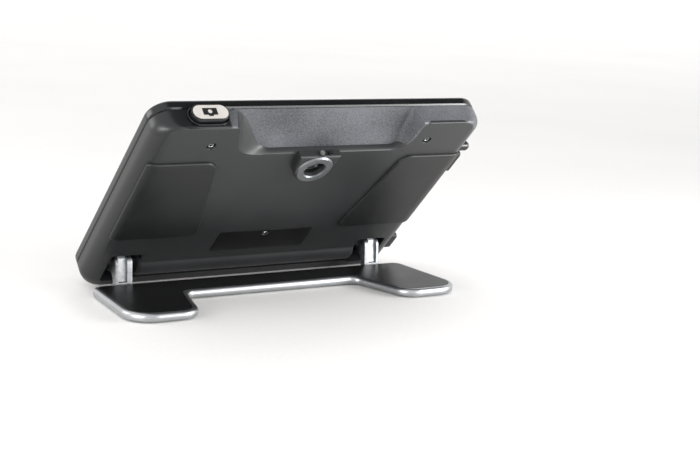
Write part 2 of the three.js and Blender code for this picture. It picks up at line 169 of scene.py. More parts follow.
def satin_abs():
    # Black ABS with a fine satin mould finish: soft broad highlights and hardly any speckle.
    return grain("satin_abs", "#202122", "#2b2c2d", 0.42, 0.45, 0.012, 60)


def gloss_abs():
    # Black ABS from a polished mould: a clear, dark sheen with slight handling haze.
    return grain("gloss_abs", "#0e0f10", "#161719", 0.26, 1.5, 0.004, 50, spread=0.08)


def soft_rubber():
    # Overmoulded TPE pad: low shine and an even, slightly warm black.
    return grain("overmoulded_tpe", "#101112", "#171819", 0.46, 0.35, 0.02, 25)


def key_rubber():
    # Silicone rubber keys: matte black.
    return grain("silicone_rubber", "#141415", "#1f2022", 0.55, 0.4, 0.02, 15)


def label_film():
    # Printed polyester film: flat black with a low satin shine.
    return grain("polyester_film", "#0d0d0e", "#151516", 0.34, 0.6, 0.006, 18)


def satin_cast_aluminium():
    # Die-cast aluminium, bead blasted and clear coated: bright, soft, faintly mottled.
    return grain("blasted_aluminium", "#a2a4a6", "#b4b6b8", 0.36, 0.5, 0.003, 30, metallic=1.0, spread=0.04)


def raw_cast_zinc():
    # Zinc casting as it leaves the die: bright, with ripples where the metal flowed.
    return grain("die_cast_zinc", "#808284", "#a4a6a8", 0.42, 2.2, 0.08, 7, metallic=1.0, spread=0.14)


def powder_inlay():
    # Black polycarbonate sheet with a fine satin grain: it mirrors the arms softly.
    return grain("polycarbonate_sheet", "#0b0b0c", "#121213", 0.4, 0.4, 0.006, 35, Specular_IOR_Level=0.3)


def dark_anodised():
    # Anodised aluminium, mid grey and bead blasted: satin, with bright edges.
    return grain("anodised_aluminium", "#6b6d70", "#7e8083", 0.36, 0.4, 0.006, 9, metallic=0.9)


def dark_chrome():
    # Tinted chrome plate on the button's collar: nearly black, with a thin bright rim.
    return grain("dark_chrome", "#2a2b2d", "#3c3d40", 0.16, 0.6, 0.004, 6, metallic=0.9)


def button_plastic():
    # Warm pale grey polycarbonate cap: smooth, slightly worn towards white.
    return grain("pale_polycarbonate", "#b7b3ae", "#c8c4bf", 0.32, 0.5, 0.006, 12)


def black_oxide():
    # Black oxide steel: dark, oily sheen with brighter rubbed spots.
    return grain("black_oxide_steel", "#08080a", "#161618", 0.3, 1.1, 0.02, 4, metallic=0.3)


def plated_steel():
    # Nickel-plated steel: turned, clean and bright.
    return grain("nickel_plated_steel", "#9a9c9e", "#b6b8ba", 0.25, 0.5, 0.006, 8, metallic=1.0)


def printed_ink():
    # Screen-printed black ink on the button.
    return grain("screen_ink", "#0c0c0d", "#161617", 0.45, 0.3, 0.004, 5)


def lens_glass():
    # Coated camera glass over a black barrel: near black with a clear mirror shine.
    return grain("coated_glass", "#040508", "#090b12", 0.05, 2.0, 0.0005, 6, spread=0.03, Coat_Weight=0.6)


def screen_glass():
    # Cover glass bonded over a switched-off panel: deep black, polished, with faint smears.
    return grain("bonded_cover_glass", "#06070a", "#0b0c10", 0.07, 8.0, 0.0005, 45, spread=0.07)


def light_lens():
    # Frosted lens over the reading light.
    return grain("frosted_polycarbonate", "#5a5a56", "#6c6c68", 0.3, 0.3, 0.01, 3)


def coloured_key(name, low, high):
    # High-contrast key cap in dyed ABS, satin.
    return grain(name, low, high, 0.36, 0.5, 0.01, 9)


def board_mask():
    # Green solder mask: glossy, with slight ripple over the tracks.
    return grain("solder_mask", "#143322", "#1f4a33", 0.35, 2.5, 0.03, 12)


def inner_metal():
    # Stamped aluminium frame: plain mill finish.
    return grain("mill_aluminium", "#8e9092", "#a8aaac", 0.36, 0.8, 0.01, 15, metallic=1.0)


def pale_floor():
    # Pale studio paper, with a hint of tooth.
    return grain("studio_paper", "#f3f2f0", "#f8f7f5", 0.7, 3.0, 0.02, 300)


textured = sand_textured_paint()
satin = satin_abs()
gloss = gloss_abs()
rubber = soft_rubber()
silicone = key_rubber()
film = label_film()
aluminium = satin_cast_aluminium()
casting = raw_cast_zinc()
inlay_sheet = powder_inlay()
anodised = dark_anodised()
chrome = dark_chrome()
pale = button_plastic()
oxide = black_oxide()
plated = plated_steel()
ink = printed_ink()
lens = lens_glass()
glass = screen_glass()
frosted = light_lens()
yellow = coloured_key("yellow_abs", "#c8951a", "#dcaa22")
blue = coloured_key("blue_abs", "#1d4f9a", "#275cab")
mask = board_mask()
mill = inner_metal()

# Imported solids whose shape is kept, and the material that each one shows
CARRIED = {
    satin: ["power_button"],
    silicone: [
        "stand_foot_front_left", "stand_foot_front_right", "stand_foot_back_left", "stand_foot_back_right",
        "near_camera_module", "speaker", "capture_switch", "headphone_jack",
    ],
    glass: ["display_glass", "lcd_panel"],
    mill: ["chassis_frame", "usb_c_socket", "battery_pack"],
    plated: [
        "arm_screw_left", "arm_screw_right", "hinge_pin_left", "hinge_pin_right",
        "friction_clutch_left", "friction_clutch_right",
    ],
    mask: ["main_board"],
    film: ["rating_label"],
    frosted: ["reading_light_lens"],
    lens: ["distance_camera_lens"],
}
for material, names in CARRIED.items():
    for name in names:
        slots = frame["nodes"][name].data.materials
        slots.clear()
        slots.append(material)


# ---------------------------------------------------------------- shaping helpers


def moved(corners, grow):
    """The corners [x, y, radius] of an outline with its edges moved outwards by grow."""
    made = []
    turning = sum(a[0] * b[1] - b[0] * a[1] for a, b in zip(corners, corners[1:] + corners[:1]))
    way = 1 if turning > 0 else -1
    for i, (x, y, radius) in enumerate(corners):
        here = Vector((x, y))
        into = (here - Vector(corners[i - 1][:2])).normalized()
        out = (Vector(corners[(i + 1) % len(corners)][:2]) - here).normalized()
        normals = [Vector((d.y, -d.x)) * way for d in (into, out)]
        shift = (normals[0] + normals[1]) * grow / (1 + normals[0].dot(normals[1]))
        convex = into.cross(out) * way > 0
        new_radius = max(radius + (grow if convex else -grow), 0.05) if radius else 0
        made.append((x + shift.x, y + shift.y, new_radius))
    return made


def rounded(corners, steps=ARC):
    """Points along an outline, each corner an arc of steps + 1 points."""
    points = []
    for i, (x, y, radius) in enumerate(corners):
        here = Vector((x, y))
        before = (Vector(corners[i - 1][:2]) - here).normalized()
        after = (Vector(corners[(i + 1) % len(corners)][:2]) - here).normalized()
        half = before.angle(after) / 2
        radius = max(radius, 0.02)
        middle = here + (before + after).normalized() * radius / math.sin(half)
        start = here + before * radius / math.tan(half) - middle
        end = here + after * radius / math.tan(half) - middle
        sweep = start.angle_signed(end)
        for k in range(steps + 1):
            spoke = start.copy()
            spoke.rotate(Matrix.Rotation(-sweep * k / steps, 2))
            points.append(middle + spoke)
    return points


def skin(bm, loops, capped=True):
    """A skin through loops of equal length: the first is drawn, and each next one is extruded from it."""
    verts = [bm.verts.new(p) for p in loops[0]]
    edges = [bm.edges.new((verts[i - 1], verts[i])) for i in range(len(verts))]
    edges = edges[1:] + edges[:1]
    if capped:
        bmesh.ops.contextual_create(bm, geom=edges)
    for loop in loops[1:]:
        made = bmesh.ops.extrude_edge_only(bm, edges=edges)["geom"]
        verts = [next(e.other_vert(v) for e in v.link_edges if e.other_vert(v) in made) for v in verts]
        for vert, place in zip(verts, loop):
            vert.co = place
        extruded = [e for e in made if isinstance(e, bmesh.types.BMEdge)]
        edges = [e for e in extruded if e.verts[0] in verts and e.verts[1] in verts]
    if capped:
        bmesh.ops.contextual_create(bm, geom=edges)


def flat(points, z):
    """An outline in x and y at one height out of the back."""
    return [Vector((p[0], p[1], z)) for p in points]


def upright(points, y):
    """An outline in x and z at one height up the tablet."""
    return [Vector((p[0], y, p[1])) for p in points]


def across(points, x):
    """An outline in y and z at one place across."""
    return [Vector((x, p[0], p[1])) for p in points]


def quarter(steps):
    """Angles from nothing to a right angle, in equal steps."""
    return [math.pi / 2 * k / steps for k in range(steps + 1)]


def dome(radius, rise, base):
    """Half a turned dome's profile, from its crown on the axis down to its rim at base."""
    return [(radius * math.sin(turn), base + rise * math.cos(turn)) for turn in quarter(8)]


def round_over(corners, top, bottom, edge, place=flat):
    """Loops of a slab from bottom to top whose upper rim is rounded."""
    loops = [place(rounded(corners), bottom)]
    for turn in quarter(4):
        inset = edge * (1 - math.cos(turn))
        loops.append(place(rounded(moved(corners, -inset)), top - edge * (1 - math.sin(turn))))
    return loops


def rectangle(left, right, low, high, radius):
    return [(left, low, radius), (right, low, radius), (right, high, radius), (left, high, radius)]


def span(side, inner, outer):
    """Left and right ends of a stretch on one side of the middle."""
    return sorted((side * inner, side * outer))


def keep_crisp(bm):
    for edge in bm.edges:
        edge.smooth = not (len(edge.link_faces) == 2 and edge.calc_face_angle(0) > SHARP)


def placed(bm, where):
    """Moves local millimetres to where they belong, with every face pointing out."""
    bmesh.ops.transform(bm, matrix=where, verts=bm.verts)
    bmesh.ops.recalc_face_normals(bm, faces=bm.faces)


def new_object(name, bm):
    mesh = bpy.data.meshes.new(name)
    bm.to_mesh(mesh)
    bm.free()
    made = bpy.data.objects.new(name, mesh)
    bpy.context.scene.collection.objects.link(made)
    return made


def finish_piece(name, bm, material, body, replaces=(), where=TABLET):
    """Turns a bmesh in local millimetres into an object at the origin, riding on its body."""
    bmesh.ops.remove_doubles(bm, verts=bm.verts, dist=0.0005)
    placed(bm, where)
    for face in bm.faces:
        face.smooth = True
    keep_crisp(bm)
    made = new_object(name, bm)
    made.data.materials.append(material)
    weighted = made.modifiers.new("weighted_normals", "WEIGHTED_NORMAL")
    weighted.keep_sharp = True
    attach(made, body)
    if replaces:
        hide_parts(*replaces)
    return made


def cut_with(target, cutter_bm, where=TABLET):
    """Cuts a bmesh solid in local millimetres out of a finished piece."""
    placed(cutter_bm, where)
    cutter = new_object("cutter", cutter_bm)
    boolean = target.modifiers.new("cut", "BOOLEAN")
    boolean.operation = "DIFFERENCE"
    boolean.solver = "EXACT"
    boolean.object = cutter
    target.modifiers.move(len(target.modifiers) - 1, 0)
    bpy.context.view_layer.update()
    bpy.context.view_layer.objects.active = target
    with bpy.context.temp_override(object=target, active_object=target):
        bpy.ops.object.modifier_apply(modifier="cut")
    bpy.data.objects.remove(cutter)
    bm = bmesh.new()
    bm.from_mesh(target.data)
    keep_crisp(bm)
    bm.to_mesh(target.data)
    bm.free()


def prism(corners, low, high, place=flat):
    """A straight solid on an outline, to cut with."""
    bm = bmesh.new()
    skin(bm, [place(rounded(corners), low), place(rounded(corners), high)])
    return bm


def spun(profile, steps=48, centre=(0, 0)):
    """A turned piece about a line along z through centre, from a profile of (radius, z) points."""
    bm = bmesh.new()
    verts = [bm.verts.new((centre[0] + r, centre[1], z)) for r, z in profile]
    edges = [bm.edges.new(pair) for pair in zip(verts, verts[1:])]
    bmesh.ops.spin(
        bm,
        geom=verts + edges,
        cent=(centre[0], centre[1], 0),
        axis=(0, 0, 1),
        angle=2 * math.pi,
        steps=steps,
        use_merge=True,
    )
    bmesh.ops.remove_doubles(bm, verts=bm.verts, dist=0.0005)
    return bm


def arc_points(cx, cy, radius, start, end, steps):
    """Points along an arc, from one angle in degrees to another."""
    angles = [math.radians(start + (end - start) * k / steps) for k in range(steps + 1)]
    return [(cx + radius * math.cos(angle), cy + radius * math.sin(angle)) for angle in angles]


# ---------------------------------------------------------------- casing


def body_loop(side_in, top_in, bottom_in, z):
    """The casing's outline at one height, drawn in from each side. Its corners tighten as it draws in."""
    left, low = -HALF_WIDTH + side_in, BOTTOM + bottom_in
    corners = rectangle(left, -left, low, TOP - top_in, CORNER - side_in * 0.45)
    return flat(rounded(corners, 12), z)


def rim_inset(radius, z):
    """How far a rim of this radius has drawn in at height z, as it turns into the flat back."""
    return radius * (1 - math.sqrt(1 - (max(z - (BACK - radius), 0) / radius) ** 2))


def cut_screw_holes(target, profile):
    for place in SCREWS:
        cut_with(target, spun(profile, 32, place))


def slope(y):
    """Height of the textured surface between the ears, going down from the notch's floor to the parting."""
    return SLOPE_START + (SLOPE_END - SLOPE_START) * (y - NOTCH_FLOOR) / (TOP - NOTCH_FLOOR)


def eased(value):
    """A soft step from 0 to 1."""
    value = min(max(value, 0), 1)
    return value * value * (3 - 2 * value)


def notch_height(x, y):
    """The sloped surface, turning up softly to each ear."""
    climb = min(max((y - NOTCH_FLOOR) / (TOP - NOTCH_FLOOR), 0), 1)
    half, blend = 59.5 + 3 * climb, 5
    return slope(y) + (BACK + 0.3 - slope(y)) * eased((abs(x) - half + blend) / blend)


def notch_cutter():
    """Everything above the notch's surface, as a solid to cut away."""
    half_width, half_height, middle, above = 63.5, 14.5, 128.2, 16
    bm = bmesh.new()
    bmesh.ops.create_grid(bm, x_segments=127, y_segments=20, size=1)
    for vert in bm.verts:
        vert.co.x *= half_width
        vert.co.y = middle + vert.co.y * half_height
        vert.co.z = notch_height(vert.co.x, vert.co.y)
    lid = bmesh.ops.extrude_face_region(bm, geom=bm.faces[:])["geom"]
    for vert in [v for v in lid if isinstance(v, bmesh.types.BMVert)]:
        vert.co.z = above
    return bm


def rear_housing():
    """The textured shell, with its notch, the bay behind the roll, the two arm slots and the screw holes."""
    rebate = [(2.2, 0.4), (0.5, 0.3), (0, 0.8)]
    loops = [body_loop(inset, inset, inset, PARTING + rise) for inset, rise in rebate]
    for turn in quarter(14):
        z = BACK - EDGE_TALL + EDGE_TALL * math.sin(turn)
        loops.append(body_loop(EDGE_WIDE * (1 - math.cos(turn)), rim_inset(1.6, z), rim_inset(5, z), z))
    bm = bmesh.new()
    skin(bm, loops)
    replaced, slot = ["rear_housing"], "textured_housing"
    made = finish_piece("rear_housing_shell", bm, textured, "tablet", replaced)
    cut_with(made, notch_cutter())
    cut_with(made, prism(rectangle(-SLOT_OUT, SLOT_OUT, -BAY_HALF, BAY_HALF, 2), BAY_FLOOR, BACK + 6))
    for side in (-1, 1):
        left, right = span(side, ROLL_HALF, SLOT_OUT)
        cut_with(made, prism(rectangle(left, right, SLOT_LOW, SLOT_TOP, 3), BAY_FLOOR + 0.1, BACK + 6))
    cut_screw_holes(made, [(0, 5.05), (2.9, 5.05), (2.9, 9), (0, 9)])
    return made


# The cover's outline as (x, y, radius), where its edge meets the housing, in two runs that the ramp joins
COVER_RIGHT = [
    (-ROLL_HALF, ROLL_TOP, 0.1), (ROLL_HALF, ROLL_TOP, 0.1),
    (SLOT_OUT + 0.2, SLOT_TOP, 3), (SLOT_OUT + 0.2, 9.5, 0.5),
    (102, 9.5, 4), (102, TOP, 11), (61.2, TOP, 5), (61.8, 128, 30), (56.5, NOTCH_FLOOR + 0.8, 11),
]
COVER_LEFT = [
    (-30, NOTCH_FLOOR + 0.8, 0.1), (-60, TOP, 0.1), (-102, TOP, 11), (-102, 9.5, 4),
    (-SLOT_OUT - 0.2, 9.5, 0.5), (-SLOT_OUT - 0.2, SLOT_TOP, 3),
]
# The ramp on the left of the notch: four control points along its foot, and four along its top
RAMP_FOOT = [(-31, NOTCH_FLOOR + 0.8), (-43, NOTCH_FLOOR + 0.8), (-45, 137), (-59.5, TOP)]
RAMP_TOP = [(-31, NOTCH_FLOOR - 0.5), (-59, NOTCH_FLOOR - 1.2), (-53.5, 124), (-60.5, TOP - 1)]


def bezier(control, steps):
    a, b, c, d = [Vector(p) for p in control]
    made = []
    for k in range(steps + 1):
        t = k / steps
        made.append(a * (1 - t) ** 3 + b * 3 * t * (1 - t) ** 2 + c * 3 * t * t * (1 - t) + d * t**3)
    return made


def cover_runs():
    """The foot and the top of the cover's edge, as matching lists of points."""
    corners = COVER_RIGHT + COVER_LEFT
    tops = moved(corners, -1.0)
    tops[0], tops[1] = corners[0], corners[1]  # the hinge side stays upright
    tops[7], tops[8] = (62.8, 128, 30), (58.4, NOTCH_FLOOR - 0.5, 12)  # the right ear leans back
    steps = 8
    ramp_start = len(COVER_RIGHT) * (steps + 1)
    ramp_end = ramp_start + 2 * (steps + 1)
    ramp_steps = 28
    foot, top = rounded(corners, steps), rounded(tops, steps)
    foot = foot[:ramp_start] + bezier(RAMP_FOOT, ramp_steps) + foot[ramp_end:]
    top = top[:ramp_start] + bezier(RAMP_TOP, ramp_steps) + top[ramp_end:]
    return foot, top


def drape(bm):
    """Bends what lies beyond the flat back, on both sides, down over the casing's curved edge."""
    for stop in (97, 98.3, 99.6, 100.9, 102.2, 103.5):
        for side in (-1, 1):
            everything = bm.verts[:] + bm.edges[:] + bm.faces[:]
            bmesh.ops.bisect_plane(bm, geom=everything, plane_co=(side * stop, 0, 0), plane_no=(1, 0, 0))
    for vert in bm.verts:
        beyond = abs(vert.co.x) - (HALF_WIDTH - EDGE_WIDE)
        if beyond <= 0:
            continue
        turn = beyond / ((EDGE_WIDE + EDGE_TALL) / 2)
        lift = vert.co.z - BACK
        normal = Vector((math.sin(turn) / EDGE_WIDE, math.cos(turn) / EDGE_TALL)).normalized()
        side = 1 if vert.co.x > 0 else -1
        vert.co.x = side * (HALF_WIDTH - EDGE_WIDE + EDGE_WIDE * math.sin(turn) + normal.x * lift)
        vert.co.z = BACK - EDGE_TALL + EDGE_TALL * math.cos(turn) + normal.y * lift


def rear_cover():
    """The cover's flat back with its rounded edge, and in the notch a steep wall and a ramp on the left."""
    foot, top = cover_runs()
    heights = []
    for point in foot:
        notch = point.y > NOTCH_FLOOR and abs(point.x) < 61.9
        heights.append(slope(point.y) - 0.25 if notch else COVER_LEVEL - 1)
    loops = [[Vector((p.x, p.y, min(h - 0.3, 4.9))) for p, h in zip(foot, heights)]]
    steps = 7
    for k, turn in enumerate(quarter(steps)):
        loop = []
        for low, high, h in zip(foot, top, heights):
            # A short step is rounded, and the long ramp is straight.
            straight = min(max(((high - low).length - 2) / 5, 0), 1)
            run = (1 - math.cos(turn)) * (1 - straight) + k / steps * straight
            rise = math.sin(turn) * (1 - straight) + (k / steps) * straight
            spot = low.lerp(high, run)
            loop.append(Vector((spot.x, spot.y, h + (COVER_LEVEL - h) * rise)))
        loops.append(loop)
    bm = bmesh.new()
    skin(bm, loops)
    drape(bm)
    made = finish_piece("rear_cover_panel", bm, satin, "tablet", ["rear_cover"])
    cut_screw_holes(made, [(0, 5.0), (2.75, 5.0), (2.75, 6.6), (3.1, 7.2), (3.1, 8), (0, 8)])
    return made


def roll_section():
    """The roll's outline in y and z: the cover's level, a soft hollow flare, and round to the hidden side."""
    flare = 3.5
    reach, height = ROLL_RADIUS + flare, COVER_LEVEL + flare
    flare_y = math.sqrt(reach**2 - height**2)
    meet = math.degrees(math.asin(height / reach))
    hollow = arc_points(flare_y, height, flare, 270, 180 + meet, 8)
    barrel = arc_points(0, 0, ROLL_RADIUS, meet, 215, 26)[1:]
    return [(ROLL_TOP, COVER_LEVEL)] + hollow + barrel + [(-8, -6), (10, -6), (ROLL_TOP, 4)]


def hinge_roll():
    """The half roll over the hinge barrel, flared softly into the cover's flat back, with rounded ends."""
    section = roll_section()
    ends = [(-ROLL_HALF, 2.0), (-ROLL_HALF + 0.4, 1.1), (-ROLL_HALF + 1.1, 0.4), (-ROLL_HALF + 2.2, 0)]
    ends += [(-x, inset) for x, inset in reversed(ends)]
    loops = []
    for x, inset in ends:
        points = []
        for y, z in section:
            hold = min(max((ROLL_TOP - y) / 6, 0), 1)
            shrink = 1 - inset / ROLL_RADIUS * hold
            points.append((y * shrink if y < 9 else y, z * shrink))
        loops.append(across(points, x))
    bm = bmesh.new()
    skin(bm, loops)
    return finish_piece("hinge_roll", bm, satin, "tablet")


def front_bezel():
    """The glossy frame round the screen, with a rounded rim and a hole for each front key."""
    joint = [(1.6, 0.05), (0.9, 0.1), (0.6, 0.4), (0.5, 0.55), (0.05, 1.0), (0, 1.3)]
    loops = [body_loop(inset, inset, inset, PARTING - drop) for inset, drop in joint]
    rim = 2.2
    for turn in quarter(5):
        inset = rim * (1 - math.cos(turn))
        loops.append(body_loop(inset, inset, inset, FRONT + rim * (1 - math.sin(turn))))
    bm = bmesh.new()
    skin(bm, loops)
    made = finish_piece("front_bezel_frame", bm, gloss, "tablet", ["front_bezel"])
    cut_with(made, prism(rectangle(-89, 89, 5, 119, 3.3), FRONT - 1, PARTING + 1))
    for y in KEY_HEIGHTS:
        cut_with(made, spun([(0, -14), (6.1, -14), (5.35, -12.6), (5.35, -6), (0, -6)], 40, (KEY_X, y)))
    return made


def draped_slab(loops, side):
    """A slab drawn for the right side, mirrored for the left and bent over the casing's edge."""
    bm = bmesh.new()
    skin(bm, loops)
    bmesh.ops.scale(bm, vec=(side, 1, 1), verts=bm.verts)
    drape(bm)
    return bm


def grip_pad(name, side):
    """A raised pad that wraps over the casing's side, with a thin dark frame round it that is painted shade
    for the shadow gap at its edge.
    """
    corners = [(104.4, 34.5, 3), (104.4, 109.5, 3), (62.5, 109.5, 8), (48.5, 34.5, 5)]
    pad = draped_slab(round_over(corners, BACK + 1.6, BACK - 0.6, 1.1), side)
    finish_piece("pad_" + name, pad, rubber, "tablet", ["grip_pad_" + name])
    # Painted shade: a dark frame just proud of the cover, standing in for the shadow in the gap round the
    # pad.
    wider = rounded(moved(corners, 0.45))
    joint = draped_slab([flat(wider, BACK - 0.5), flat(wider, BACK + 0.12)], side)
    finish_piece("pad_shadow_gap_" + name, joint, silicone, "tablet")


def cover_screw(name, x, y):
    """Pan head, sunk in its hole, with a round drive recess whose rim carries a bright plated ring as a
    painted highlight for its glint.
    """
    head = [(0, 5.35), (1.15, 5.4), (1.2, 6.25), (1.45, 6.4), (2.0, 6.3), (2.4, 5.95), (2.45, 5.2), (0, 5.2)]
    replaced = ["cover_screw_" + name]
    finish_piece("screw_" + name, spun(head, 24, (x, y)), oxide, "tablet", replaced)
    # Painted highlight: a bright plated ring at the recess rim stands in for the glint on the dark head.
    glint_ring = [(1.0, 6.2), (1.12, 6.42), (1.35, 6.5), (1.6, 6.42), (1.6, 6.2), (1.0, 6.2)]
    finish_piece("screw_glint_" + name, spun(glint_ring, 24, (x, y)), plated, "tablet")


# ---------------------------------------------------------------- camera


def camera_tongue():
    """The short raised tongue from the notch's floor down round the camera."""
    nose, lean = 12.4, 1.6
    outline = arc_points(0, CAMERA_Y, nose, 180, 360, 24)
    outline += [(12.9, 112), (13.6, 117.2), (-13.6, 117.2), (-12.9, 112)]
    loops = [flat(outline, 6.6)]
    for turn in quarter(4):
        inset = 1 - lean * (1 - math.cos(turn)) / nose
        points = [(x * inset, CAMERA_Y + (y - CAMERA_Y) * inset) for x, y in outline]
        loops.append(flat(points, 11.9 - lean * (1 - math.sin(turn))))
    bm = bmesh.new()
    skin(bm, loops)
    made = finish_piece("camera_tongue", bm, satin, "tablet", ["camera_boss"])
    cut_with(made, spun([(0, 8), (7.2, 8), (7.2, 14), (0, 14)], 48, (0, CAMERA_Y)))
    return made


def camera_ring():
    """The metal ring, with a flat face, a rounded inner lip and a bevelled outer edge."""
    hole, rim, face, seat = RING_HOLE, RING_RADIUS, RING_FACE, 9.6
    profile = [
        (hole, seat), (hole, 12.2), (7.1, 12.95), (7.4, face), (10.4, face), (10.75, 12.9),
        (rim, 11.9), (rim, seat), (hole, seat),
    ]
    bm = spun(profile, 64, (0, CAMERA_Y))
    return finish_piece("camera_ring_trim", bm, anodised, "tablet", ["camera_ring"])


def near_lens():
    bm = spun(dome(5.9, 1.2, 8.1) + [(5.9, 7.4), (0, 7.4)], 48, (0, CAMERA_Y))
    return finish_piece("near_lens_dome", bm, lens, "tablet", ["near_camera_lens"])


# ---------------------------------------------------------------- buttons

BUTTON_X, BUTTON_Z, BUTTON_HALF, BUTTON_DEEP, BUTTON_FACE = -77.5, -0.8, 11.2, 5.3, TOP + 4.6


def obround(grow):
    """The capture button's outline, moved outwards by grow."""
    left, right = BUTTON_X - BUTTON_HALF - grow, BUTTON_X + BUTTON_HALF + grow
    low, high = BUTTON_Z - BUTTON_DEEP - grow, BUTTON_Z + BUTTON_DEEP + grow
    return rectangle(left, right, low, high, BUTTON_DEEP + grow - 0.02)


def capture_cap():
    bm = bmesh.new()
    skin(bm, round_over(obround(0), TOP + 4.4, TOP + 1.4, 0.35, place=upright))
    finish_piece("capture_cap", bm, gloss, "capture_button", ["capture_button"])


def capture_face():
    """The pale face, let into the black cap so that a thin black rim shows."""
    bm = bmesh.new()
    skin(bm, round_over(obround(-0.75), BUTTON_FACE, TOP + 4.2, 0.12, place=upright))
    finish_piece("capture_face", bm, pale, "capture_button")


def capture_collar():
    """A thin closed sleeve round the cap: up outside, over its rim, and down inside."""
    profile = [(1.3, -0.2), (1.25, 1.2), (0.9, 1.6), (0.45, 1.5), (0.4, -0.2), (1.3, -0.2)]
    bm = bmesh.new()
    skin(bm, [upright(rounded(obround(grow)), TOP + rise) for grow, rise in profile], capped=False)
    finish_piece("capture_collar", bm, chrome, "tablet", ["capture_surround"])


def camera_pictogram():
    """A plain camera shape with a round eye, printed on the button's face."""
    x, z = BUTTON_X - 0.4, BUTTON_Z - 0.4
    half, deep = 4.3, 2.5
    body = [
        (x - half, z - deep + 0.4, 0.25), (x + half, z - deep + 0.4, 0.25), (x + half, z + deep, 0.25),
        (x + 1.6, z + deep, 0.1), (x + 1.2, z + deep + 0.9, 0.3), (x - 1.2, z + deep + 0.9, 0.3),
        (x - 1.6, z + deep, 0.1), (x - half, z + deep, 0.25),
    ]
    face = BUTTON_FACE
    bm = bmesh.new()
    skin(bm, [upright(rounded(body, 2), face - 0.15), upright(rounded(body, 2), face + 0.03)])
    finish_piece("camera_mark", bm, ink, "capture_button")
    bm = spun([(0, face - 0.1), (1.25, face - 0.1), (1.25, face + 0.06), (0, face + 0.06)], 32)
    bmesh.ops.rotate(bm, matrix=Matrix.Rotation(-math.pi / 2, 3, "X"), verts=bm.verts)
    bmesh.ops.translate(bm, vec=(x, 0, z + 0.2), verts=bm.verts)
    finish_piece("camera_mark_eye", bm, pale, "capture_button")


def power_lug():
    """A round domed button that points out of the right side."""
    bm = spun(dome(3.2, 3.2, 109.2) + [(3.2, 103.6), (0, 103.6)], 32)
    bmesh.ops.rotate(bm, matrix=Matrix.Rotation(math.pi / 2, 3, "Y"), verts=bm.verts)
    bmesh.ops.translate(bm, vec=(0, 110.5, 1.9), verts=bm.verts)
    return finish_piece("power_lug", bm, gloss, "power_button", ["power_button"])


def side_key(name, y, half):
    """A thin bar on the right side, y its middle and half its half length."""
    middle, deep = 1.8, 2.3
    corners = rectangle(y - half, y + half, middle - deep, middle + deep, deep - 0.02)
    bm = bmesh.new()
    skin(bm, round_over(corners, 110.4, 102, 0.8, place=across))
    return finish_piece(name + "_cap", bm, silicone, name, [name])


def front_key(name, y, material):
    """A round dished key beside the screen."""
    dish = [(0, -13.7), (3.4, -13.85), (4.3, -14.1), (4.8, -13.9), (5, -13.4), (5, -9.5), (0, -9.5)]
    return finish_piece(name + "_cap", spun(dish, 40, (KEY_X, y)), material, name, [name])


# ---------------------------------------------------------------- stand


ARM_IN, ARM_OUT = 82.5, 93.5


def plate_corners(grow, back):
    """The inlay's U outline, moved outwards by grow, and by back on its hinge side."""
    right = [
        (62 - grow, -21 - grow, 9 - grow),
        (73.5 - grow, -64.5 - grow, 10 + grow),
        (110.5 + grow, -64.5 - grow, 14 + grow),
        (106.4 + grow, 1.6 + back, 5),
    ]
    return right + [(-x, y, radius) for x, y, radius in reversed(right)]


def stand_plate():
    """A U-shaped casting with a full round nose, a recess for its inlay and a slot under each arm."""
    low, top = 1.0, 6.0
    nose = [
        (0.9, 0.0), (0.35, 0.45), (0.1, 1.1), (0.0, 2.2), (0.12, 3.4), (0.5, 4.2), (1.15, 4.75), (1.9, 5.0),
        (2.7, 5.0),
    ]
    loops = []
    for inset, rise in nose:
        loops.append(flat(rounded(plate_corners(3 - inset, 1.2 - inset * 0.35), 8), low + rise))
    for depth in (0.15, 1.0):
        loops.append(flat(rounded(plate_corners(0.15, 0.15), 8), top - depth))
    bm = bmesh.new()
    skin(bm, loops)
    replaced, slot = ["stand_plate"], "satin_silver_casting"
    made = finish_piece("stand_casting", bm, aluminium, "stand", replaced, where=STAND)
    for side in (-1, 1):
        left, right = span(side, ARM_IN - 0.3, ARM_OUT + 0.3)
        cut_with(made, prism(rectangle(left, right, -12.3, 10, 0.5), 0, 3.3), where=STAND)
    return made


def stand_inlay():
    bm = bmesh.new()
    skin(bm, [
        flat(rounded(plate_corners(0, 0), 8), 5.2),
        flat(rounded(plate_corners(0, 0), 8), 6.0),
        flat(rounded(plate_corners(-0.12, -0.12), 8), 6.1),
    ])
    replaced, slot = ["stand_inlay"], "black_inlay"
    return finish_piece("inlay_sheet", bm, inlay_sheet, "stand", replaced, where=STAND)


# The arm's side view as (y, z, radius): a foot under the plate, a post and a round eye for the pin
ARM_SIDE = [
    (-12, 1.3, 0.2), (8.4, 1.3, 1), (8.4, 12.9, 5), (15, 11.9, 0.5), (17.7, 11.4, 0.3), (21.2, 12.4, 2.5),
    (23.9, 16, 2.5), (23.9, 19.4, 2.5), (21.2, 22.8, 2.5), (17.7, 23.8, 0.5), (10, 23.2, 4), (4.2, 22.4, 5.5),
    (3.1, 3.0, 0.1), (-12, 3.0, 0.2),
]
# The sunken web between the arm's two ribs, which shows from the front
ARM_CHANNEL = [(1, 6.8, 0.3), (4.9, 6.8, 0.8), (5.4, 13, 2), (6.6, 21, 1.5), (9, 26, 1), (1, 26, 0.3)]


def pin_bore(side):
    bore = spun([(0, -1), (2.85, -1), (2.85, 40), (0, 40)], 24)
    bmesh.ops.rotate(bore, matrix=Matrix.Rotation(math.pi / 2, 3, "Y"), verts=bore.verts)
    bmesh.ops.translate(bore, vec=(70 if side > 0 else -109, PIN_Y, PIN_Z), verts=bore.verts)
    return bore


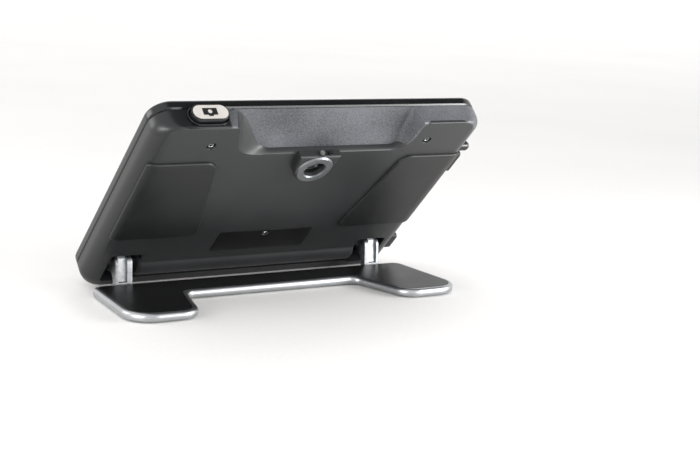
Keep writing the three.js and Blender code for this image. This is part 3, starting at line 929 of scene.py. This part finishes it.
def hinge_arm(name, side):
    """A cast arm with two ribs, a sunken web and a bore for the hinge pin."""
    edge = 0.7
    near = [(ARM_IN, edge), (ARM_IN + 0.2, 0.2), (ARM_IN + edge, 0)]
    far = [(ARM_OUT - edge, 0), (ARM_OUT - 0.2, 0.2), (ARM_OUT, edge)]
    bm = bmesh.new()
    skin(bm, [across(rounded(moved(ARM_SIDE, -inset * 0.8), 4), x) for x, inset in near + far])
    bmesh.ops.scale(bm, vec=(side, 1, 1), verts=bm.verts)
    replaced, slot = ["hinge_arm_" + name], "bare_casting"
    made = finish_piece("arm_" + name, bm, casting, "stand", replaced, where=STAND)
    left, right = span(side, ARM_IN + 3.4, ARM_OUT - 1.9)
    cut_with(made, prism(ARM_CHANNEL, left, right, place=across), where=STAND)
    cut_with(made, pin_bore(side), where=STAND)
    return made


# ---------------------------------------------------------------- build

rear_housing()
rear_cover()
hinge_roll()
front_bezel()
grip_pad("left", -1)
grip_pad("right", 1)
for screw, (x, y) in zip(("left", "right", "bottom"), SCREWS):
    cover_screw(screw, x, y)
camera_tongue()
camera_ring()
near_lens()
capture_cap()
capture_face()
capture_collar()
camera_pictogram()
power_lug()
side_key("upper_side_key", 94.5, 9.5)
side_key("lower_side_key", 4, 7.2)
front_key("zoom_in_key", KEY_HEIGHTS[0], yellow)
front_key("mode_key", KEY_HEIGHTS[1], blue)
front_key("zoom_out_key", KEY_HEIGHTS[2], yellow)
stand_plate()
stand_inlay()
hinge_arm("left", -1)
hinge_arm("right", 1)


# ---------------------------------------------------------------- studio


def studio_sheet(name, size, place, material):
    bm = bmesh.new()
    bmesh.ops.create_grid(bm, x_segments=1, y_segments=1, size=size)
    bmesh.ops.translate(bm, vec=place, verts=bm.verts)
    sheet = new_object(name, bm)
    sheet.data.materials.append(material)


def studio():
    """A pale floor, a white room, and a dark flag overhead that keeps the glossy black parts dark."""
    studio_sheet("floor", 6, (0, 0, 0), pale_floor())
    studio_sheet("flag", 1.0, (0.9, -0.3, 2.0), inlay_sheet)
    world = bpy.data.worlds.new("studio")
    bpy.context.scene.world = world
    world.use_nodes = True
    background = world.node_tree.nodes["Background"]
    background.inputs["Color"].default_value = colour("#ffffff")
    background.inputs["Strength"].default_value = 1.15


def area_light(name, place, target, width, height, watts):
    """A soft rectangular lamp at place, aimed at target."""
    data = bpy.data.lights.new(name, "AREA")
    data.shape = "RECTANGLE"
    data.size, data.size_y = width, height
    data.energy = watts
    lamp = bpy.data.objects.new(name, data)
    lamp.location = place
    lamp.rotation_mode = "QUATERNION"
    lamp.rotation_quaternion = (Vector(target) - Vector(place)).to_track_quat("-Z", "Y")
    bpy.context.scene.collection.objects.link(lamp)


def camera():
    """Low behind the tablet's left corner, looking slightly down along its back."""
    data = bpy.data.cameras.new("camera")
    data.lens = 74.43
    data.sensor_width = 36
    eye = bpy.data.objects.new("camera", data)
    yaw, pitch, roll = (math.radians(a) for a in (32.017, -11.372, 3.146))
    pan = Matrix.Rotation(-yaw, 4, "Z")
    tilt = Matrix.Rotation(math.pi / 2 + pitch, 4, "X")
    place = Vector((-422.85, -784.96 + STAND_Y, 214.65)) * MM
    eye.matrix_world = Matrix.Translation(place) @ pan @ tilt @ Matrix.Rotation(roll, 4, "Z")
    bpy.context.scene.collection.objects.link(eye)
    bpy.context.scene.camera = eye


studio()
camera()
area_light("key_low_right", (0.5, -0.4, 0.16), (0.05, -0.02, 0.09), 0.3, 0.2, 3.4)
area_light("card_front_right", (0.75, -1.25, 0.08), (0, 0, 0.03), 1.0, 0.14, 5)
area_light("fill_left_low", (-0.75, -0.35, 0.1), (-0.05, 0, 0.06), 0.4, 0.2, 3)
area_light("rim_left", (-0.8, 0.45, 0.3), (-0.1, 0, 0.06), 0.4, 0.4, 2)
bpy.context.scene.view_settings.view_transform = "Standard"
